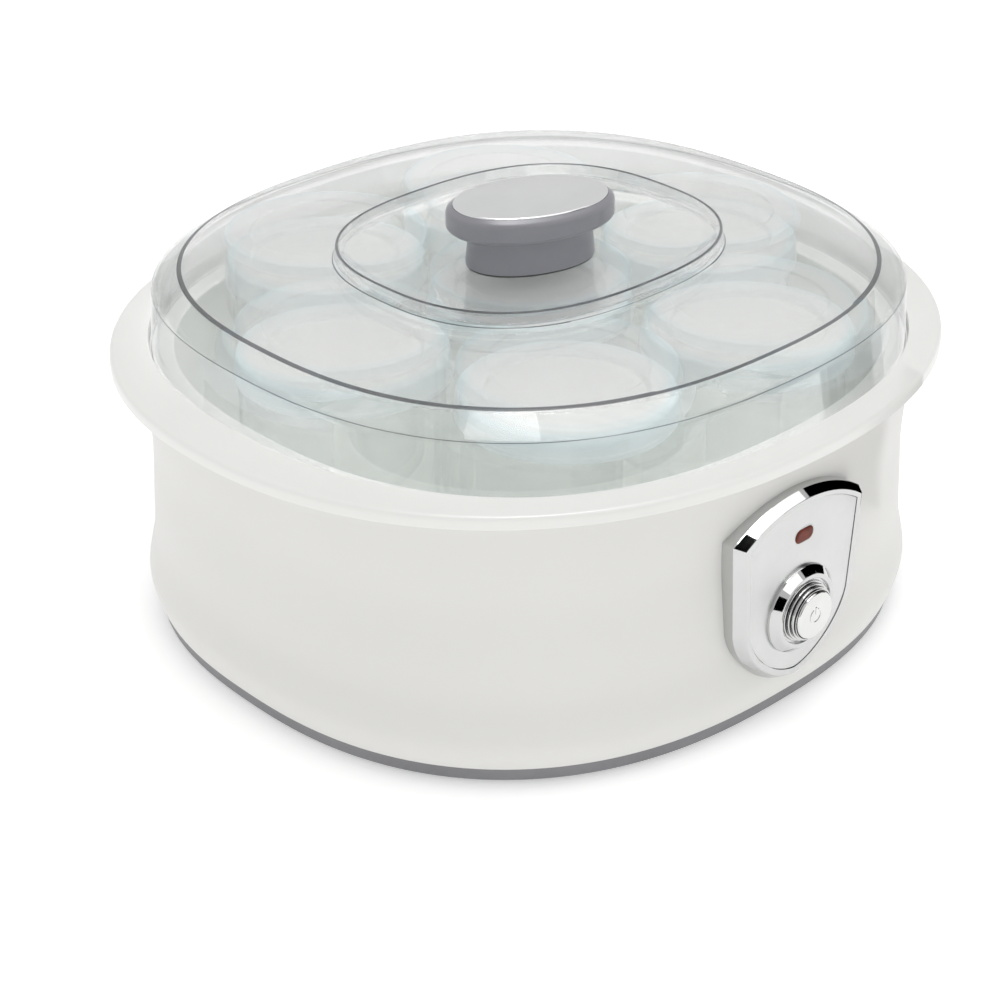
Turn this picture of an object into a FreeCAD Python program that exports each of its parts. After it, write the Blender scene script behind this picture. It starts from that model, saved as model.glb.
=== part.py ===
"""Electric yogurt maker with seven lidded glass jars, in millimetres.

The origin is on the supporting surface, at the middle of the housing. +Z is up, +X runs
along the long side, and the control panel faces -Y. Most walls follow a rounded oblong,
a superellipse given by its half length, half width, exponent and height.
"""
import FreeCAD, Part
import math
import os

Vec = FreeCAD.Vector
UP = Vec(0, 0, 1)

# Driving dimensions
LENGTH = 278.0
DEPTH = 254.0
FOOT = 1.5
WALL = 2.4

# Housing
RIM_TOP = 100.0
RIM_THICK = 3.0
LIP_DROP = 4.4
SEAM_Z = RIM_TOP - 7.4
LEDGE_Z = RIM_TOP - 4.2
BODY_A = 123.8
BODY_B = 115.6
BODY_N = 2.4
BAND_TOP = FOOT + 5.2
BULGE = ((BAND_TOP, 1.6), (11.0, 3.2), (16.0, 3.9), (22.0, 2.9), (30.0, 1.4), (44.0, 0.6),
         (62.0, -0.2), (78.0, 0.3), (SEAM_Z, 0.3))
TUB_FLOOR = 27.5
FLOOR_THICK = 3.0

# Lid
SKIRT_A = 122.2
SKIRT_B = 116.2
SKIRT_N = 2.31
LID_WALL = 2.0
LID_GAP = 0.3
SHOULDER_Z = 116.6
TOP_EDGE_Z = 122.7
CREST_A = 63.2
CREST_B = 53.6
CREST_N = 2.54
CREST_Z = 129.7
CREST_FOOT_Z = 124.3
WELL_Z = 120.2

# Knob
KNOB_A = 28.9
KNOB_B = 19.2
KNOB_N = 2.1
KNOB_TURN = -18.0
GRIP_LOW = 133.0
GRIP_TOP = 142.0
CAP_A = 26.6
CAP_B = 17.2

# Jars
JAR_PITCH = 75.0
JAR_TURN = -5.2
JAR_RADIUS = 32.6
JAR_WALL = 2.6
JAR_HEIGHT = 79.0
JAR_LIFT = 0.3
JAR_LID_RADIUS = 34.6
JAR_LID_TOP = 109.8
JAR_LID_SKIRT = 8.2
JAR_LID_WALL = 1.3

# Control panel
PANEL_Y = -122.2
PANEL_HALF = 25.0
PANEL_TAPER = 2.0
PANEL_CORNER = 70.3
PANEL_APEX = 77.9
PANEL_TURN = 40.0
PANEL_BOTTOM = 18.5
PANEL_N = 1.64
LIP = 2.0
BEVEL = 2.3
BEVEL_DEEP = 3.5
LEDGE_WIDE = 5.4
FACE_Y = PANEL_Y + 0.3
FACE_THICK = 1.4
LEDGE_Y = FACE_Y + FACE_THICK + 0.05
BUTTON_Z = 40.5
BUTTON_R = 8.0
BUTTON_END = -128.8
DIAL_R = 15.0
PILL_Z = 66.7
PILL_LONG = 8.4
PILL_HIGH = 4.8
PANEL_SCREW_X = (-21.8, 21.8)
PANEL_SCREW_Z = 61.0
SCREW_HEAD_Y = -111.6

# Base and inside works
BASE_THICK = 2.6
FLOOR_Z = FOOT + BASE_THICK
FOOT_RADIUS = 7.5
FOOT_SPOTS = [(sx * 78.0, sy * 70.0) for sx in (-1, 1) for sy in (-1, 1)]
SCREW_SPOTS = [(sx * 92.0, sy * 48.0) for sx in (-1, 1) for sy in (-1, 1)]
BOSS_TOP = 12.6
GLAND_Z = 18.0
GLAND_Y = 121.6
GLAND_BORE = 2.9
HEATER_R = 78.0
HEATER_TOP = TUB_FLOOR - FLOOR_THICK
HEATER_THICK = 1.6
HEATER_LOW = HEATER_TOP - HEATER_THICK
ELEMENT_R = 52.0
ELEMENT_WIRE = 3.2
ELEMENT_Z = HEATER_LOW - ELEMENT_WIRE
CLIP_ANGLES = (20.0, 140.0, 260.0)
PLATE_SCREWS = (80.0, 200.0, 320.0)
SHIELD_Z = 13.0
TERMINAL_X = 34.0
TERMINAL_Y = 88.0
SWITCH_FRONT = -116.5
SWITCH_BACK = -108.6
STEM_END = -115.0
RING_DEEP = 3.0
RING_BACK = FACE_Y + RING_DEEP

os.makedirs("parts", exist_ok=True)


# ---------------------------------------------------------------- outline tools
def ring(a, b, n, z, count=32):
    """Closed smooth superellipse |x/a|^n + |y/b|^n = 1 at height z."""
    points = []
    for i in range(count):
        angle = 2 * math.pi * i / count
        c = math.cos(angle)
        s = math.sin(angle)
        r = (abs(c / a) ** n + abs(s / b) ** n) ** (-1.0 / n)
        points.append(Vec(r * c, r * s, z))
    knots = [i / count for i in range(count + 1)]
    curve = Part.BSplineCurve()
    curve.interpolate(Points=points, PeriodicFlag=True, Parameters=knots)
    return Part.Wire(curve.toShape())


def mix(p, q, t):
    return tuple(u + (v - u) * t for u, v in zip(p, q))


def towards(p, q, reach):
    """The point that lies reach mm from p on the way to q, in the (a, z) section."""
    length = math.hypot(q[0] - p[0], q[3] - p[3])
    return mix(p, q, min(reach / length, 0.49))


def bend(start, corner, end, steps=4):
    """Rings of a rounded edge, from start to end, curving inside the corner."""
    out = []
    for i in range(steps + 1):
        t = i / steps
        out.append(mix(mix(start, corner, t), mix(corner, end, t), t))
    return out


def close_shell(faces):
    shell = Part.Compound(faces)
    shell.sewShape(1e-4)
    shell = shell.Shells[0] if shell.Shells else Part.Shell(faces)
    solid = Part.Solid(shell)
    if solid.Volume < 0:
        solid.reverse()
    if not solid.isValid():
        solid.fix(1e-4, 1e-4, 1e-4)
    return solid


def skin(corners, closed=False):
    """Solid whose section is a run of corners (a, b, n, z, rounding).

    An open run starts and ends in flat caps. A closed run makes a tube-like shell.
    """
    count = len(corners)
    runs = []
    for i, item in enumerate(corners):
        corner = item[:4]
        size = item[4]
        inner = closed or 0 < i < count - 1
        if size and inner:
            before = towards(corner, corners[i - 1][:4], size)
            after = towards(corner, corners[(i + 1) % count][:4], size)
            runs.append([ring(*r) for r in bend(before, corner, after)])
        else:
            runs.append([ring(*corner)])
    faces = []
    for wires in runs:
        if len(wires) > 1:
            faces += Part.makeLoft(wires, False, False).Faces
    links = count if closed else count - 1
    for i in range(links):
        low = runs[i][-1]
        high = runs[(i + 1) % count][0]
        if abs(low.BoundBox.ZMin - high.BoundBox.ZMin) < 1e-6:
            wide, narrow = (low, high) if low.BoundBox.XMax > high.BoundBox.XMax else (high, low)
            faces.append(Part.Face([wide, narrow]))
        else:
            faces += Part.makeLoft([low, high], False, True).Faces
    if not closed:
        faces.append(Part.Face(runs[0][0]))
        faces.append(Part.Face(runs[-1][-1]))
    return close_shell(faces)


def turned(corners):
    """Solid of revolution about Z from section corners (r, z, rounding)."""
    count = len(corners)
    edges = []
    ends = []
    for i, (r, z, size) in enumerate(corners):
        here = Vec(r, 0, z)
        last = Vec(corners[i - 1][0], 0, corners[i - 1][1])
        following = Vec(corners[(i + 1) % count][0], 0, corners[(i + 1) % count][1])
        if size:
            one = (last - here).normalize()
            two = (following - here).normalize()
            half = one.getAngle(two) / 2
            reach = size / math.tan(half)
            middle = (one + two).normalize() * (size / math.sin(half) - size)
            start = here + one * reach
            end = here + two * reach
            edges.append(Part.Arc(start, here + middle, end).toShape())
            ends.append((start, end))
        else:
            ends.append((here, here))
    for i in range(count):
        start = ends[i][1]
        end = ends[(i + 1) % count][0]
        if start.distanceToPoint(end) > 1e-6:
            edges.append(Part.LineSegment(start, end).toShape())
    wire = Part.Wire(Part.__sortEdges__(edges))
    return Part.Face(wire).revolve(Vec(0, 0, 0), UP, 360)


def tube(outer, inner, low, high, centre=(0.0, 0.0)):
    place = Vec(centre[0], centre[1], low)
    body = Part.makeCylinder(outer, high - low, place)
    if inner:
        body = body.cut(Part.makeCylinder(inner, high - low, place))
    return body


def towards_front(shape, z):
    """Turn a shape made about +Z so that its +Z points to -Y, at height z."""
    shape.rotate(Vec(0, 0, 0), Vec(1, 0, 0), 90)
    shape.translate(Vec(0, 0, z))
    return shape


def wire_run(points, diameter):
    """A lead: straight runs joined by tangent arcs."""
    path = []
    start = points[0]
    for before, here, after in zip(points, points[1:], points[2:]):
        one = before - here
        two = after - here
        shorter = min(one.Length, two.Length)
        one = one.normalize()
        two = two.normalize()
        half = one.getAngle(two) / 2
        reach = 0.45 * shorter
        radius = reach * math.tan(half)
        middle = (one + two).normalize() * (radius / math.sin(half) - radius)
        path.append(Part.LineSegment(start, here + one * reach).toShape())
        path.append(Part.Arc(here + one * reach, here + middle, here + two * reach).toShape())
        start = here + two * reach
    path.append(Part.LineSegment(start, points[-1]).toShape())
    spine = Part.Wire(path)
    direction = points[1] - points[0]
    profile = Part.Wire(Part.makeCircle(diameter / 2, points[0], direction))
    return spine.makePipeShell([profile], True, False)


def save(name, shape):
    solids = shape.Solids
    kept = solids[0] if len(solids) == 1 else Part.Compound(solids)
    box = kept.BoundBox
    print(f"{name:16s} solids {len(solids)} valid {kept.isValid()} vol {kept.Volume:10.0f}"
          f"  x {box.XMin:.1f}..{box.XMax:.1f} y {box.YMin:.1f}..{box.YMax:.1f}"
          f" z {box.ZMin:.1f}..{box.ZMax:.1f}")
    kept.exportStep(f"parts/{name}.step")


# ---------------------------------------------------------------- housing
def wall_loft(offset):
    """The outer wall's outline as one smooth solid, moved inwards by offset."""
    rings = [ring(BODY_A + out - offset, BODY_B + out - offset, BODY_N, z) for z, out in BULGE]
    faces = Part.makeLoft(rings, False, False).Faces
    return close_shell(faces + [Part.Face(rings[0]), Part.Face(rings[-1])])


def outer_body():
    shell = wall_loft(0.0).cut(wall_loft(WALL))
    shell = shell.cut(shield_block(-LEDGE_WIDE, PANEL_Y, -BODY_B + 20.0))
    gland = Part.makeCylinder(5.0, 30.0, Vec(0, BODY_B - 12.0, GLAND_Z), Vec(0, 1, 0))
    shell = shell.cut(gland)
    for x in PANEL_SCREW_X:
        hole = Part.makeCylinder(1.7, 20.0, Vec(x, -BODY_B + 10.0, PANEL_SCREW_Z), Vec(0, -1, 0))
        shell = shell.cut(hole)
    return shell


def inner_tub():
    """Jar well, lid ledge and carrying rim in one moulding."""
    half_x = LENGTH / 2
    half_y = DEPTH / 2
    well_a = 113.6
    well_b = 108.0
    floor_a = 110.6
    floor_b = 105.0
    recess_a = SKIRT_A + 0.7
    recess_b = SKIRT_B + 0.7
    under = RIM_TOP - RIM_THICK
    wall_a = BODY_A + BULGE[-1][1]
    wall_b = BODY_B + BULGE[-1][1]
    floor_low = TUB_FLOOR - FLOOR_THICK
    corners = [
        (floor_a - 9.0 + WALL, floor_b - 9.0 + WALL, 2.4, floor_low, 0.0),
        (floor_a + WALL - 0.6, floor_b + WALL - 0.6, 2.4, floor_low, 8.0),
        (well_a + WALL, well_b + WALL, 2.4, SEAM_Z, 0.6),
        (wall_a, wall_b, BODY_N, SEAM_Z, 0.0),
        (wall_a, wall_b, BODY_N, under, 1.0),
        (half_x - 2.2, half_y - 2.2, 2.19, under, 0.5),
        (half_x - 1.9, half_y - 1.9, 2.19, RIM_TOP - LIP_DROP, 0.3),
        (half_x, half_y, 2.19, RIM_TOP - LIP_DROP, 0.4),
        (half_x, half_y, 2.19, RIM_TOP - 0.2, 1.9),
        (recess_a, recess_b, SKIRT_N, RIM_TOP + 0.2, 0.5),
        (recess_a, recess_b, SKIRT_N, LEDGE_Z, 0.3),
        (well_a, well_b, 2.4, LEDGE_Z, 0.9),
        (floor_a, floor_b, 2.4, TUB_FLOOR, 7.0),
        (floor_a - 11.0, floor_b - 11.0, 2.4, TUB_FLOOR, 0.0),
    ]
    tub = skin(corners)
    for x, y in SCREW_SPOTS:
        tub = tub.fuse(tube(4.0, 0, BOSS_TOP + 0.05, floor_low + 0.5, (x, y)))
    for x, y in SCREW_SPOTS:
        tub = tub.cut(tube(1.6, 0, BOSS_TOP, BOSS_TOP + 6.0, (x, y)))
    return tub


def base_plate():
    """Grey base: its rim is the band under the white wall."""
    out = BULGE[0][1]
    corners = [
        (BODY_A - 3.0, BODY_B - 3.0, BODY_N, FOOT, 0.0),
        (BODY_A + 0.4, BODY_B + 0.4, BODY_N, FOOT, 1.0),
        (BODY_A + out, BODY_B + out, BODY_N, BAND_TOP, 0.0),
        (BODY_A - 1.4, BODY_B - 1.4, BODY_N, BAND_TOP, 0.0),
        (BODY_A - 1.4, BODY_B - 1.4, BODY_N, BAND_TOP + 3.0, 0.4),
        (BODY_A - 3.4, BODY_B - 3.4, BODY_N, BAND_TOP + 3.0, 0.4),
        (BODY_A - 3.8, BODY_B - 3.8, BODY_N, FLOOR_Z, 0.6),
        (BODY_A - 9.0, BODY_B - 9.0, BODY_N, FLOOR_Z, 0.0),
    ]
    plate = skin(corners)
    for x, y in SCREW_SPOTS:
        plate = plate.fuse(tube(4.0, 0, FLOOR_Z - 0.5, BOSS_TOP, (x, y)))
    for x, y in SCREW_SPOTS:
        plate = plate.cut(Part.makeCylinder(1.6, 20.0, Vec(x, y, 0)))
        plate = plate.cut(Part.makeCylinder(3.4, FOOT + 1.4, Vec(x, y, 0)))
    for x, y in FOOT_SPOTS:
        plate = plate.cut(Part.makeCylinder(FOOT_RADIUS, 1.0, Vec(x, y, FOOT)))
    return plate


def rubber_feet():
    feet = []
    for x, y in FOOT_SPOTS:
        foot = turned([(0, 0, 0), (FOOT_RADIUS - 0.8, 0, 0.5), (FOOT_RADIUS, FOOT, 0.0),
                       (FOOT_RADIUS, FOOT + 1.0, 0), (0, FOOT + 1.0, 0)])
        foot.translate(Vec(x, y, 0))
        feet.append(foot)
    return Part.Compound(feet)


def base_screws():
    screws = []
    for x, y in SCREW_SPOTS:
        low = FOOT + 1.4
        screw = turned([(0, low - 1.8, 0), (2.6, low - 1.8, 0.8), (2.8, low, 0), (1.5, low, 0),
                        (1.5, low + 14.0, 0.4), (0, low + 14.0, 0)])
        slot = Part.makeBox(3.6, 0.7, 0.8, Vec(-1.8, -0.35, low - 1.8))
        cross = Part.makeBox(0.7, 3.6, 0.8, Vec(-0.35, -1.8, low - 1.8))
        screw = screw.cut(slot).cut(cross)
        screw.translate(Vec(x, y, 0))
        screws.append(screw)
    return Part.Compound(screws)


# ---------------------------------------------------------------- heater
def on_circle(radius, degrees):
    angle = math.radians(degrees)
    return radius * math.cos(angle), radius * math.sin(angle)


def heater_plate():
    plate = tube(HEATER_R, 0, HEATER_LOW, HEATER_TOP)
    for degrees in PLATE_SCREWS:
        x, y = on_circle(HEATER_R - 8.0, degrees)
        plate = plate.cut(tube(1.8, 0, HEATER_LOW - 1, HEATER_TOP + 1, (x, y)))
    return plate


def heater_screws():
    """Short screws through the plate, up against the tub floor."""
    screws = []
    low = HEATER_LOW
    for degrees in PLATE_SCREWS:
        screw = turned([(0, low - 2.0, 0), (3.0, low - 2.0, 0.7), (3.0, low, 0), (1.6, low, 0),
                        (1.6, HEATER_TOP, 0), (0, HEATER_TOP, 0)])
        x, y = on_circle(HEATER_R - 8.0, degrees)
        screw.translate(Vec(x, y, 0))
        screws.append(screw)
    return Part.Compound(screws)


def heating_element():
    """Sheathed ring, open at the back where its two tails turn down."""
    loop = Part.makeTorus(ELEMENT_R, ELEMENT_WIRE, Vec(0, 0, ELEMENT_Z), UP, -180, 180, 330)
    loop.rotate(Vec(0, 0, 0), UP, 105)
    tails = []
    for degrees in (75.0, 105.0):
        x, y = on_circle(ELEMENT_R, degrees)
        tails.append(tube(1.6, 0, ELEMENT_Z - 5.5, ELEMENT_Z, (x, y)))
        tails.append(Part.makeSphere(ELEMENT_WIRE, Vec(x, y, ELEMENT_Z)))
    return loop.fuse(tails)


def element_clips():
    """Saddles that press the ring to the plate."""
    clips = []
    low = ELEMENT_Z - ELEMENT_WIRE - 1.0
    top = HEATER_LOW
    for degrees in CLIP_ANGLES:
        block = Part.makeBox(16.0, 8.0, top - low, Vec(-8.0, -4.0, low))
        block.translate(Vec(ELEMENT_R, 0, 0))
        channel = Part.makeTorus(ELEMENT_R, ELEMENT_WIRE + 0.05, Vec(0, 0, ELEMENT_Z), UP)
        riser = tube(ELEMENT_R + ELEMENT_WIRE + 0.05, ELEMENT_R - ELEMENT_WIRE - 0.05,
                     ELEMENT_Z, top + 1.0)
        block = block.cut(channel).cut(riser)
        block.rotate(Vec(0, 0, 0), UP, degrees)
        clips.append(block)
    return Part.Compound(clips)


def heat_shield():
    shield = tube(HEATER_R + 2.0, 0, SHIELD_Z, SHIELD_Z + 0.8)
    for degrees in (45.0, 135.0, 225.0, 315.0):
        x, y = on_circle(HEATER_R - 4.0, degrees)
        foot = tube(3.0, 0, FLOOR_Z, SHIELD_Z, (x, y))
        shield = shield.fuse(foot)
    return shield


def thermostat():
    """Bimetal disc thermostat hung under the heater plate."""
    top = HEATER_LOW
    can = turned([(0, top - 7.5, 0), (7.5, top - 7.5, 0.8), (7.5, top - 2.0, 0),
                  (9.0, top - 2.0, 0), (9.0, top, 0), (0, top, 0)])
    blades = [Part.makeBox(5.0, 0.8, 3.0, Vec(x, -0.4, top - 6.0)) for x in (-12.0, 7.0)]
    can = can.fuse(blades)
    can.translate(Vec(0, -18.0, 0))
    return can


def thermal_fuse():
    """Small cylindrical one-shot fuse with its two legs, clipped to the plate."""
    top = HEATER_LOW
    fuse = Part.makeCylinder(2.0, 11.0, Vec(-5.5, 16.0, top - 2.0), Vec(1, 0, 0))
    leg = Part.makeCylinder(0.5, 19.0, Vec(-9.5, 16.0, top - 2.0), Vec(1, 0, 0))
    return fuse.fuse(leg)


# ---------------------------------------------------------------- electrics
def terminal_block():
    block = Part.makeBox(24.0, 14.0, 10.0, Vec(TERMINAL_X - 12.0, TERMINAL_Y - 7.0, FLOOR_Z))
    for x in (-6.0, 6.0):
        well = Part.makeCylinder(2.4, 6.0, Vec(TERMINAL_X + x, TERMINAL_Y, FLOOR_Z + 6.0))
        block = block.cut(well)
        bore = Part.makeCylinder(1.3, 8.0, Vec(TERMINAL_X + x, TERMINAL_Y - 8.0, FLOOR_Z + 3.5),
                                 Vec(0, 1, 0))
        block = block.cut(bore)
    return block


def terminal_screws():
    screws = []
    for x in (-6.0, 6.0):
        screw = tube(2.1, 0, FLOOR_Z + 6.0, FLOOR_Z + 9.0, (TERMINAL_X + x, TERMINAL_Y))
        slot = Part.makeBox(5.0, 0.7, 0.9, Vec(TERMINAL_X + x - 2.5, TERMINAL_Y - 0.35,
                                               FLOOR_Z + 8.3))
        screws.append(screw.cut(slot))
    return Part.Compound(screws)


def cord_gland():
    """Ribbed bush in the back wall, where the mains cord enters."""
    bush = turned([(GLAND_BORE, 0, 0), (8.0, 0, 0.8), (8.0, 2.6, 0.3), (4.9, 2.6, 0),
                   (4.9, 5.6, 0), (7.0, 5.6, 0.4), (7.0, 7.6, 0.4), (GLAND_BORE, 7.6, 0)])
    bush.rotate(Vec(0, 0, 0), Vec(1, 0, 0), 90)
    bush.translate(Vec(0, GLAND_Y, GLAND_Z))
    wall = wall_loft(0.0).cut(wall_loft(WALL))
    wall = wall.cut(Part.makeCylinder(5.0, 40.0, Vec(0, BODY_B - 20.0, GLAND_Z), Vec(0, 1, 0)))
    return bush.cut(wall)


def live_wire():
    z = FLOOR_Z + 3.5
    return wire_run([Vec(TERMINAL_X - 6.0, TERMINAL_Y - 4.0, z), Vec(26.0, 64.0, 8.4),
                     Vec(-2.0, 30.0, 7.6), Vec(-10.0, -10.0, 7.4), Vec(-9.0, -50.0, 7.6),
                     Vec(-9.0, -84.0, 8.2), Vec(-8.0, -104.0, 11.0), Vec(-6.0, -110.6, 21.0),
                     Vec(-5.0, -111.0, 33.9)], 1.8)


def lamp_wire():
    z = FLOOR_Z + 3.5
    return wire_run([Vec(TERMINAL_X + 6.0, TERMINAL_Y - 4.0, z), Vec(42.0, 62.0, 8.4),
                     Vec(30.0, 26.0, 7.6), Vec(18.0, -12.0, 7.4), Vec(16.0, -52.0, 7.6),
                     Vec(16.0, -84.0, 8.2), Vec(15.0, -104.0, 11.0), Vec(13.5, -110.9, 22.0),
                     Vec(12.0, -111.2, 42.0), Vec(3.0, -113.3, 63.8)], 1.4)


def power_switch():
    """Latching push switch behind the button, held to the dial ring by two ears."""
    deep = SWITCH_BACK - SWITCH_FRONT
    body = Part.makeBox(15.0, deep, 13.0, Vec(-7.5, SWITCH_FRONT, BUTTON_Z - 6.5))
    for x in (-13.5, 7.5):
        ear = Part.makeBox(6.0, 1.8, 6.0, Vec(x, SWITCH_FRONT, BUTTON_Z - 3.0))
        body = body.fuse(ear)
    for x in (-13.5, 9.2):
        foot = Part.makeBox(4.3, 3.0, 6.0, Vec(x, RING_BACK, BUTTON_Z - 3.0))
        body = body.fuse(foot)
    bore = Part.makeCylinder(2.75, 5.0, Vec(0, SWITCH_FRONT, BUTTON_Z), Vec(0, 1, 0))
    return body.cut(bore)


# ---------------------------------------------------------------- control panel
def shield(grow, y):
    """Panel outline in the plane y: a bowed top edge over a long rounded bottom."""
    half = PANEL_HALF + grow
    low_half = half - PANEL_TAPER
    corner = PANEL_CORNER + 0.42 * grow
    apex = PANEL_APEX + 0.75 * grow
    deep = PANEL_TURN - PANEL_BOTTOM + 1.1 * grow
    points = []
    for i in range(25):
        angle = math.pi * i / 24
        side = math.cos(angle)
        x = math.copysign(low_half * abs(side) ** (2.0 / PANEL_N), side)
        points.append(Vec(x, y, PANEL_TURN - deep * math.sin(angle) ** (2.0 / PANEL_N)))
    points[-1].z = PANEL_TURN
    bowl = Part.BSplineCurve()
    bowl.interpolate(points)
    left = Vec(-half, y, corner)
    right = Vec(half, y, corner)
    edges = [
        Part.Arc(left, Vec(0, y, apex), right).toShape(),
        Part.LineSegment(right, points[0]).toShape(),
        bowl.toShape(),
        Part.LineSegment(points[-1], left).toShape(),
    ]
    return Part.Wire(Part.__sortEdges__(edges))


def shield_block(grow, front, back):
    """Prism of the panel outline between two planes."""
    face = Part.Face(shield(grow, front))
    return face.extrude(Vec(0, back - front, 0))


def panel_bezel():
    """Chrome frame: an upright edge, a wide bevel and a thin flat lip."""
    side = PANEL_Y + BEVEL_DEEP
    back = -BODY_B + 4.0
    block = shield_block(LIP + BEVEL, side, back)
    bevel = Part.makeLoft([shield(LIP + BEVEL, side), shield(LIP, PANEL_Y)], True, True)
    block = block.fuse(bevel)
    block = block.cut(shield_block(0.0, PANEL_Y - 1.0, LEDGE_Y))
    block = block.cut(shield_block(-LEDGE_WIDE, PANEL_Y - 1.0, back + 1.0))
    for x in PANEL_SCREW_X:
        hole = Part.makeCylinder(1.45, 10.0, Vec(x, -118.8, PANEL_SCREW_Z), Vec(0, 1, 0))
        block = block.cut(hole)
    return block.cut(wall_loft(0.0))


def pill(length, height, y, depth):
    """Oblong block with round ends, its axis along Y, starting at y."""
    r = height / 2
    half = length / 2 - r
    edges = [
        Part.LineSegment(Vec(-half, y, r), Vec(half, y, r)).toShape(),
        Part.Arc(Vec(half, y, r), Vec(half + r, y, 0), Vec(half, y, -r)).toShape(),
        Part.LineSegment(Vec(half, y, -r), Vec(-half, y, -r)).toShape(),
        Part.Arc(Vec(-half, y, -r), Vec(-half - r, y, 0), Vec(-half, y, r)).toShape(),
    ]
    block = Part.Face(Part.Wire(edges)).extrude(Vec(0, depth, 0))
    block.translate(Vec(0, 0, PILL_Z))
    return block


def panel_face():
    """Satin plate inside the frame, a hair below its lip."""
    plate = shield_block(-0.2, FACE_Y, FACE_Y + FACE_THICK)
    plate = plate.cut(pill(PILL_LONG + 0.1, PILL_HIGH + 0.1, FACE_Y - 1.0, 5.0))
    hole = Part.makeCylinder(DIAL_R + 0.05, 6.0, Vec(0, FACE_Y - 1.0, BUTTON_Z), Vec(0, 1, 0))
    return plate.cut(hole)


def indicator_lens():
    front = PANEL_Y - 0.2
    lens = pill(PILL_LONG, PILL_HIGH, front, LEDGE_Y - front + 0.1)
    edges = [e for e in lens.Edges if abs(e.BoundBox.YMax - front) < 1e-6]
    lens = lens.makeFillet(0.5, edges)
    flange = pill(PILL_LONG + 2.0, PILL_HIGH + 2.0, LEDGE_Y, 0.8)
    return lens.fuse(flange)


def indicator_lamp():
    """Neon lamp on its small holder, right behind the lens."""
    back = PANEL_Y + 3.35
    bulb = Part.makeCylinder(1.9, 4.6, Vec(0, back, PILL_Z), Vec(0, 1, 0))
    holder = Part.makeBox(8.0, 1.8, 5.0, Vec(-4.0, back + 4.6, PILL_Z - 2.5))
    return bulb.fuse(holder)


def dial_ring():
    """Chrome ring round the button: a bevel, a flat lip, a recess and a ribbed collar."""
    inner = BUTTON_R + 0.25
    section = [
        (inner, -RING_DEEP, 0), (DIAL_R, -RING_DEEP, 0), (DIAL_R, 0.95, 0.2),
        (12.6, 3.3, 0.25), (11.2, 3.3, 0.2), (11.1, 2.2, 0.15),
    ]
    for i in range(4):
        section.append((10.6 - 0.5 * i, 2.3 + 0.7 * i, 0.0))
        section.append((10.6 - 0.5 * i, 3.0 + 0.7 * i, 0.2))
    section.append((inner, 5.1, 0.0))
    return towards_front(turned(section), BUTTON_Z).translated(Vec(0, FACE_Y, 0))


def power_button():
    """Push button: a cap with a generic power mark, and its stem to the switch."""
    length = -BUTTON_END + PANEL_Y
    cap = turned([(0, -1.0, 0), (BUTTON_R, -1.0, 0), (BUTTON_R, length, 0.9), (0, length, 0)])
    stem = Part.makeCylinder(2.4, STEM_END - PANEL_Y - 1.0, Vec(0, 0, PANEL_Y - STEM_END))
    cap = cap.fuse(stem)
    mark = tube(2.6, 2.1, length, length + 0.2)
    gap = Part.makeBox(1.6, 4.0, 1.0, Vec(-0.8, 1.0, length - 0.2))
    bar = Part.makeBox(0.5, 2.4, 0.2, Vec(-0.25, 0.6, length))
    mark = mark.cut(gap).fuse(bar)
    button = cap.fuse(mark.Solids)
    return towards_front(button, BUTTON_Z).translated(Vec(0, PANEL_Y, 0))


def button_spring():
    """Return spring round the stem, as a plain sleeve of its outer size."""
    sleeve = tube(4.6, 3.4, PANEL_Y - SWITCH_FRONT, -1.0)
    return towards_front(sleeve, BUTTON_Z).translated(Vec(0, PANEL_Y, 0))


def panel_screws():
    screws = []
    for x in PANEL_SCREW_X:
        shank = Part.makeCylinder(1.4, 7.0, Vec(x, SCREW_HEAD_Y, PANEL_SCREW_Z), Vec(0, -1, 0))
        head = Part.makeCylinder(2.6, 1.7, Vec(x, SCREW_HEAD_Y, PANEL_SCREW_Z), Vec(0, 1, 0))
        screws.append(shank.fuse(head))
    return Part.Compound(screws)


# ---------------------------------------------------------------- lid
def lid_section(inset, drop):
    """Corners of the lid's skin, moved inwards by inset and down by drop."""
    def corner(a, b, n, z, rounding):
        return (a - inset, b - inset, n, z - drop, rounding)

    return [
        corner(119.4, 113.2, 2.43, SHOULDER_Z, 2.6),
        corner(110.6, 104.7, 2.42, TOP_EDGE_Z, 1.2),
        corner(CREST_A + 0.9, CREST_B + 0.9, CREST_N, CREST_FOOT_Z, 0.8),
        corner(CREST_A, CREST_B, CREST_N, CREST_Z, 0.9),
    ]


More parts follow.
